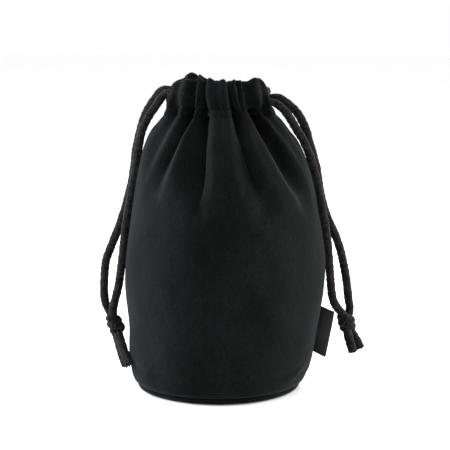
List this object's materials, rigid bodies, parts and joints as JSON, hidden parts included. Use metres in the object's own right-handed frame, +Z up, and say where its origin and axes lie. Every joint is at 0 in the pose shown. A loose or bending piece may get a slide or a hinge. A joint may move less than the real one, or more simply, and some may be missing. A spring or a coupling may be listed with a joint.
{
  "type": "drawstring dice bag",
  "caption": "Standing round-bottomed cloth pouch with a gathered neck, open mouth, knotted drawcords leaving at the sides and a small side label.",
  "frame": {"origin": "centre of the base's underside, on the surface that the bag stands on", "axes": "+Z up towards the mouth, -Y towards the front, +X towards the side seam with the label"},
  "size_m": [0.1239, 0.0886, 0.146],
  "materials": {
    "velveteen": "black short-pile velveteen",
    "cord": "black soft braid",
    "ribbon": "black satin ribbon",
    "thread": "black sewing thread",
    "board": "thin matt board"
  },
  "bodies": {
    "bag": {"front_panel": "velveteen", "back_panel": "velveteen", "base_disc": "velveteen", "base_stiffener": "board", "left_cord_bight": "cord", "right_cord_bight": "cord"},
    "front_mouth": {"front_casing": "velveteen", "front_casing_thread": "thread", "left_cord_front_run": "cord", "right_cord_front_run": "cord"},
    "back_mouth": {"back_casing": "velveteen", "back_casing_thread": "thread", "left_cord_back_run": "cord", "right_cord_back_run": "cord"},
    "label": {"label_tab": "ribbon"},
    "left_draw": {"left_cord_front_exit": "cord", "left_cord_back_exit": "cord"},
    "left_lift": {"left_cord_front_strand": "cord", "left_cord_back_strand": "cord", "left_knot": "cord", "left_cord_front_tail": "cord", "left_cord_back_tail": "cord"},
    "right_draw": {"right_cord_front_exit": "cord", "right_cord_back_exit": "cord"},
    "right_lift": {"right_cord_front_strand": "cord", "right_cord_back_strand": "cord", "right_knot": "cord", "right_cord_front_tail": "cord", "right_cord_back_tail": "cord"}
  },
  "joints": [
    {"name": "front_casing_tilt", "type": "hinge", "parent": "bag", "child": "front_mouth", "pos_m": [0, -0.01, 0.129], "axis": [1, 0, 0], "range_deg": [0, 15]},
    {"name": "back_casing_tilt", "type": "hinge", "parent": "bag", "child": "back_mouth", "pos_m": [0, 0.01, 0.129], "axis": [-1, 0, 0], "range_deg": [0, 15]},
    {"name": "label_flap", "type": "hinge", "parent": "bag", "child": "label", "pos_m": [0.0446, 0, 0.0166], "axis": [0.1952, 0, 0.9808], "range_deg": [-35, 35], "stiffness_Nm_per_rad": 0.0005},
    {"name": "left_cord_draw", "type": "slide", "parent": "bag", "child": "left_draw", "axis": [-1, 0, 0], "range_m": [0, 0.03]},
    {"name": "left_cord_lift", "type": "hinge", "parent": "left_draw", "child": "left_lift", "pos_m": [-0.028, 0, 0.1385], "axis": [0, 1, 0], "range_deg": [0, 70]},
    {"name": "right_cord_draw", "type": "slide", "parent": "bag", "child": "right_draw", "axis": [1, 0, 0], "range_m": [0, 0.03]},
    {"name": "right_cord_lift", "type": "hinge", "parent": "right_draw", "child": "right_lift", "pos_m": [0.0294, 0, 0.1373], "axis": [0, -1, 0], "range_deg": [0, 70]}
  ]
}
